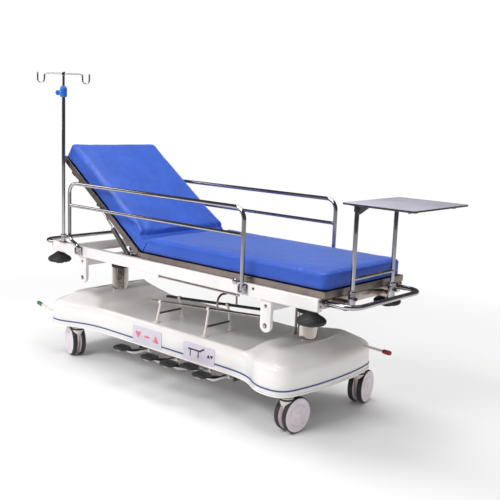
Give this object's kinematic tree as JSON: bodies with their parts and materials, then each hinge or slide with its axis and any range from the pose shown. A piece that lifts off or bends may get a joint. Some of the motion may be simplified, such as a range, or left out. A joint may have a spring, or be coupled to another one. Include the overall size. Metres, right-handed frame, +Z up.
{
  "type": "stretcher trolley",
  "caption": "Hospital stretcher trolley with lifting, tilting platform, raising backrest, fold-down side guards, drip pole, foot table and swivel castors on a moulded base.",
  "frame": {"origin": "on the floor, under the middle of the whole trolley's footprint", "axes": "+X toward the foot end, -Y toward the pedal side, +Z up"},
  "size_m": [2.3775, 0.8036, 1.515],
  "materials": {
    "cover_moulding": "gloss, off-white moulding",
    "trim_stripe": "satin, dark blue",
    "chassis_steel": "satin, dark grey paint",
    "chrome_tube": "polished",
    "stainless": "brushed",
    "white_paint": "semi-gloss white powder coat",
    "board_laminate": "matte",
    "cushion_cover": "royal blue coated fabric, soft sheen",
    "black_rubber": "matte",
    "castor_plastic": "satin, pale grey",
    "tyre_rubber": "matte",
    "blue_plastic": "gloss",
    "smoked_acrylic": "clear, lightly smoked"
  },
  "bodies": {
    "base": {"base_cover": "cover_moulding", "base_stripe": "trim_stripe", "chassis": "chassis_steel", "head_column_sleeve": "chrome_tube", "foot_column_sleeve": "chrome_tube", "bottle_cradle": "stainless", "pedal_shaft": "stainless"},
    "lift": {"head_mid_tube": "chrome_tube", "foot_mid_tube": "chrome_tube"},
    "head_piston": {"head_piston": "chrome_tube"},
    "foot_piston": {"foot_piston": "chrome_tube"},
    "head_end": {"head_trunnion": "stainless"},
    "platform": {"side_rail_near": "white_paint", "side_rail_far": "white_paint", "head_cross_member": "white_paint", "foot_cross_member": "white_paint", "head_saddle": "white_paint", "foot_saddle": "white_paint", "rail_tie_rod_near": "chassis_steel", "seat_frame": "stainless", "seat_board": "board_laminate", "seat_cushion": "cushion_cover", "back_hinge_pin": "stainless", "push_handle_head": "chrome_tube", "push_handle_foot": "chrome_tube", "drip_pole_socket": "stainless", "drip_pole": "chrome_tube", "drip_pole_collar": "blue_plastic"},
    "backrest": {"back_frame": "stainless", "back_board": "board_laminate", "back_cushion": "cushion_cover"},
    "release_lever": {"release_lever": "black_rubber"},
    "strut_cylinder": {"strut_cylinder": "chassis_steel"},
    "strut_rod": {"strut_rod": "chrome_tube"},
    "guard_near": {"side_guard_near": "chrome_tube"},
    "guard_far": {"side_guard_far": "chrome_tube"},
    "pole_knob": {"drip_pole_knob": "blue_plastic"},
    "hook_rod": {"drip_hook_rod": "chrome_tube"},
    "table": {"table_frame": "chrome_tube", "table_top": "smoked_acrylic"},
    "castor_head_near": {"castor_housing_head_near": "castor_plastic"},
    "wheels_head_near": {"castor_wheels_head_near": "tyre_rubber"},
    "bumper_head_near": {"bumper_head_near": "black_rubber"},
    "castor_head_far": {"castor_housing_head_far": "castor_plastic"},
    "wheels_head_far": {"castor_wheels_head_far": "tyre_rubber"},
    "bumper_head_far": {"bumper_head_far": "black_rubber"},
    "castor_foot_near": {"castor_housing_foot_near": "castor_plastic"},
    "wheels_foot_near": {"castor_wheels_foot_near": "tyre_rubber"},
    "bumper_foot_near": {"bumper_foot_near": "black_rubber"},
    "castor_foot_far": {"castor_housing_foot_far": "castor_plastic"},
    "wheels_foot_far": {"castor_wheels_foot_far": "tyre_rubber"},
    "bumper_foot_far": {"bumper_foot_far": "black_rubber"},
    "pedal_1": {"pedal_1": "black_rubber"},
    "pedal_2": {"pedal_2": "black_rubber"},
    "pedal_3": {"pedal_3": "black_rubber"},
    "pedal_4": {"pedal_4": "black_rubber"},
    "pedal_5": {"pedal_5": "black_rubber"},
    "lock_lever_head": {"lock_lever_head": "chrome_tube"},
    "lock_lever_foot": {"lock_lever_foot": "chrome_tube"}
  },
  "joints": [
    {"name": "swivel_head_near", "type": "hinge", "parent": "base", "child": "castor_head_near", "pos_m": [-0.8012, -0.2528, 0.16], "axis": [0, 0, 1], "continuous": true},
    {"name": "spin_head_near", "type": "hinge", "parent": "castor_head_near", "child": "wheels_head_near", "pos_m": [-0.83713, -0.24043, 0.08], "axis": [0.3256, 0.9455, 0], "continuous": true},
    {"name": "swivel_head_far", "type": "hinge", "parent": "base", "child": "castor_head_far", "pos_m": [-0.8012, 0.2792, 0.16], "axis": [0, 0, 1], "continuous": true},
    {"name": "spin_head_far", "type": "hinge", "parent": "castor_head_far", "child": "wheels_head_far", "pos_m": [-0.82563, 0.30831, 0.08], "axis": [0.766, 0.6428, 0], "continuous": true},
    {"name": "swivel_foot_near", "type": "hinge", "parent": "base", "child": "castor_foot_near", "pos_m": [0.6688, -0.2528, 0.16], "axis": [0, 0, 1], "continuous": true},
    {"name": "spin_foot_near", "type": "hinge", "parent": "castor_foot_near", "child": "wheels_foot_near", "pos_m": [0.67211, -0.21494, 0.08], "axis": [0.9962, -0.0872, 0], "continuous": true},
    {"name": "swivel_foot_far", "type": "hinge", "parent": "base", "child": "castor_foot_far", "pos_m": [0.6688, 0.2792, 0.16], "axis": [0, 0, 1], "continuous": true},
    {"name": "spin_foot_far", "type": "hinge", "parent": "castor_foot_far", "child": "wheels_foot_far", "pos_m": [0.66155, 0.3165, 0.08], "axis": [0.9816, 0.1908, 0], "continuous": true},
    {"name": "lift", "type": "slide", "parent": "base", "child": "lift", "axis": [0, 0, 1], "range_m": [0, 0.24]},
    {"name": "head_raise", "type": "hinge", "parent": "lift", "child": "head_end", "pos_m": [0.5578, 0.0132, 0.54], "axis": [0, 1, 0], "range_deg": [0, 8]},
    {"name": "head_piston_slide", "type": "slide", "parent": "lift", "child": "head_piston", "axis": [0, 0, 1], "range_m": [0, 0.19]},
    {"name": "foot_raise", "type": "hinge", "parent": "head_end", "child": "platform", "pos_m": [-0.7692, 0.0132, 0.54], "axis": [0, -1, 0], "range_deg": [0, 8]},
    {"name": "foot_piston_slide", "type": "slide", "parent": "lift", "child": "foot_piston", "axis": [0, 0, 1], "range_m": [0, 0.19]},
    {"name": "backrest_tilt", "type": "hinge", "parent": "platform", "child": "backrest", "pos_m": [-0.2712, 0.0132, 0.642], "axis": [0, 1, 0], "range_deg": [-35.3, 34.7]},
    {"name": "strut_pivot", "type": "hinge", "parent": "platform", "child": "strut_cylinder", "pos_m": [-0.3912, -0.2368, 0.602], "axis": [0, 1, 0], "range_deg": [-42.52, 41.81]},
    {"name": "strut_stroke", "type": "slide", "parent": "strut_cylinder", "child": "strut_rod", "axis": [-0.7227, 0, 0.6912], "range_m": [-0.0665, 0.0654]},
    {"name": "release_squeeze", "type": "hinge", "parent": "backrest", "child": "release_lever", "pos_m": [-0.76829, -0.2568, 0.9523], "axis": [0, 1, 0], "range_deg": [0, 5], "stiffness_Nm_per_rad": 3, "springref_deg": -17.19},
    {"name": "guard_near_fold", "type": "hinge", "parent": "platform", "child": "guard_near", "pos_m": [-0.1392, -0.3128, 0.597], "axis": [1, 0, 0], "range_deg": [0, 160]},
    {"name": "guard_far_fold", "type": "hinge", "parent": "platform", "child": "guard_far", "pos_m": [-0.1392, 0.3392, 0.597], "axis": [-1, 0, 0], "range_deg": [0, 160]},
    {"name": "bumper_roll_head_near", "type": "hinge", "parent": "platform", "child": "bumper_head_near", "pos_m": [-0.9412, -0.2688, 0.522], "axis": [0, 0, 1], "continuous": true},
    {"name": "bumper_roll_head_far", "type": "hinge", "parent": "platform", "child": "bumper_head_far", "pos_m": [-0.9412, 0.2952, 0.522], "axis": [0, 0, 1], "continuous": true},
    {"name": "bumper_roll_foot_near", "type": "hinge", "parent": "platform", "child": "bumper_foot_near", "pos_m": [0.7888, -0.2688, 0.522], "axis": [0, 0, 1], "continuous": true},
    {"name": "bumper_roll_foot_far", "type": "hinge", "parent": "platform", "child": "bumper_foot_far", "pos_m": [0.7888, 0.2952, 0.522], "axis": [0, 0, 1], "continuous": true},
    {"name": "pole_knob_turn", "type": "hinge", "parent": "platform", "child": "pole_knob", "pos_m": [-0.9172, -0.2928, 1.406], "axis": [1, 0, 0], "range_deg": [-180, 0]},
    {"name": "hook_rod_slide", "type": "slide", "parent": "platform", "child": "hook_rod", "axis": [0, 0, 1], "range_m": [0, 0.36]},
    {"name": "table_lift_out", "type": "slide", "parent": "platform", "child": "table", "axis": [0, 0, 1], "range_m": [0, 0.06]},
    {"name": "pedal_1_press", "type": "hinge", "parent": "base", "child": "pedal_1", "pos_m": [-0.2842, -0.1918, 0.146], "axis": [1, 0, 0], "range_deg": [0, 22], "stiffness_Nm_per_rad": 12, "springref_deg": -20.05},
    {"name": "pedal_2_press", "type": "hinge", "parent": "base", "child": "pedal_2", "pos_m": [-0.0792, -0.1918, 0.146], "axis": [1, 0, 0], "range_deg": [0, 22], "stiffness_Nm_per_rad": 12, "springref_deg": -20.05},
    {"name": "pedal_3_press", "type": "hinge", "parent": "base", "child": "pedal_3", "pos_m": [0.0558, -0.1918, 0.146], "axis": [1, 0, 0], "range_deg": [0, 22], "stiffness_Nm_per_rad": 12, "springref_deg": -20.05},
    {"name": "pedal_4_press", "type": "hinge", "parent": "base", "child": "pedal_4", "pos_m": [0.1468, -0.1918, 0.146], "axis": [1, 0, 0], "range_deg": [0, 22], "stiffness_Nm_per_rad": 12, "springref_deg": -20.05},
    {"name": "pedal_5_press", "type": "hinge", "parent": "base", "child": "pedal_5", "pos_m": [0.2708, -0.1918, 0.146], "axis": [1, 0, 0], "range_deg": [0, 22], "stiffness_Nm_per_rad": 12, "springref_deg": -20.05},
    {"name": "lock_lever_head_press", "type": "hinge", "parent": "base", "child": "lock_lever_head", "pos_m": [-0.9252, 0.0132, 0.19], "axis": [0, -1, 0], "range_deg": [-12, 12]},
    {"name": "lock_lever_foot_press", "type": "hinge", "parent": "base", "child": "lock_lever_foot", "pos_m": [0.6508, 0.0132, 0.296], "axis": [0, 1, 0], "range_deg": [-12.5, 12.5]}
  ],
  "couplings": [
    {"joint": "head_piston_slide", "follows": "head_raise", "m_per_rad": 1.327},
    {"joint": "foot_piston_slide", "follows": "foot_raise", "m_per_rad": 1.327},
    {"joint": "strut_pivot", "follows": "backrest_tilt", "ratio": 1.1762},
    {"joint": "strut_stroke", "follows": "backrest_tilt", "m_per_rad": 0.10463},
    {"joint": "lock_lever_foot_press", "follows": "lock_lever_head_press", "ratio": 1}
  ]
}
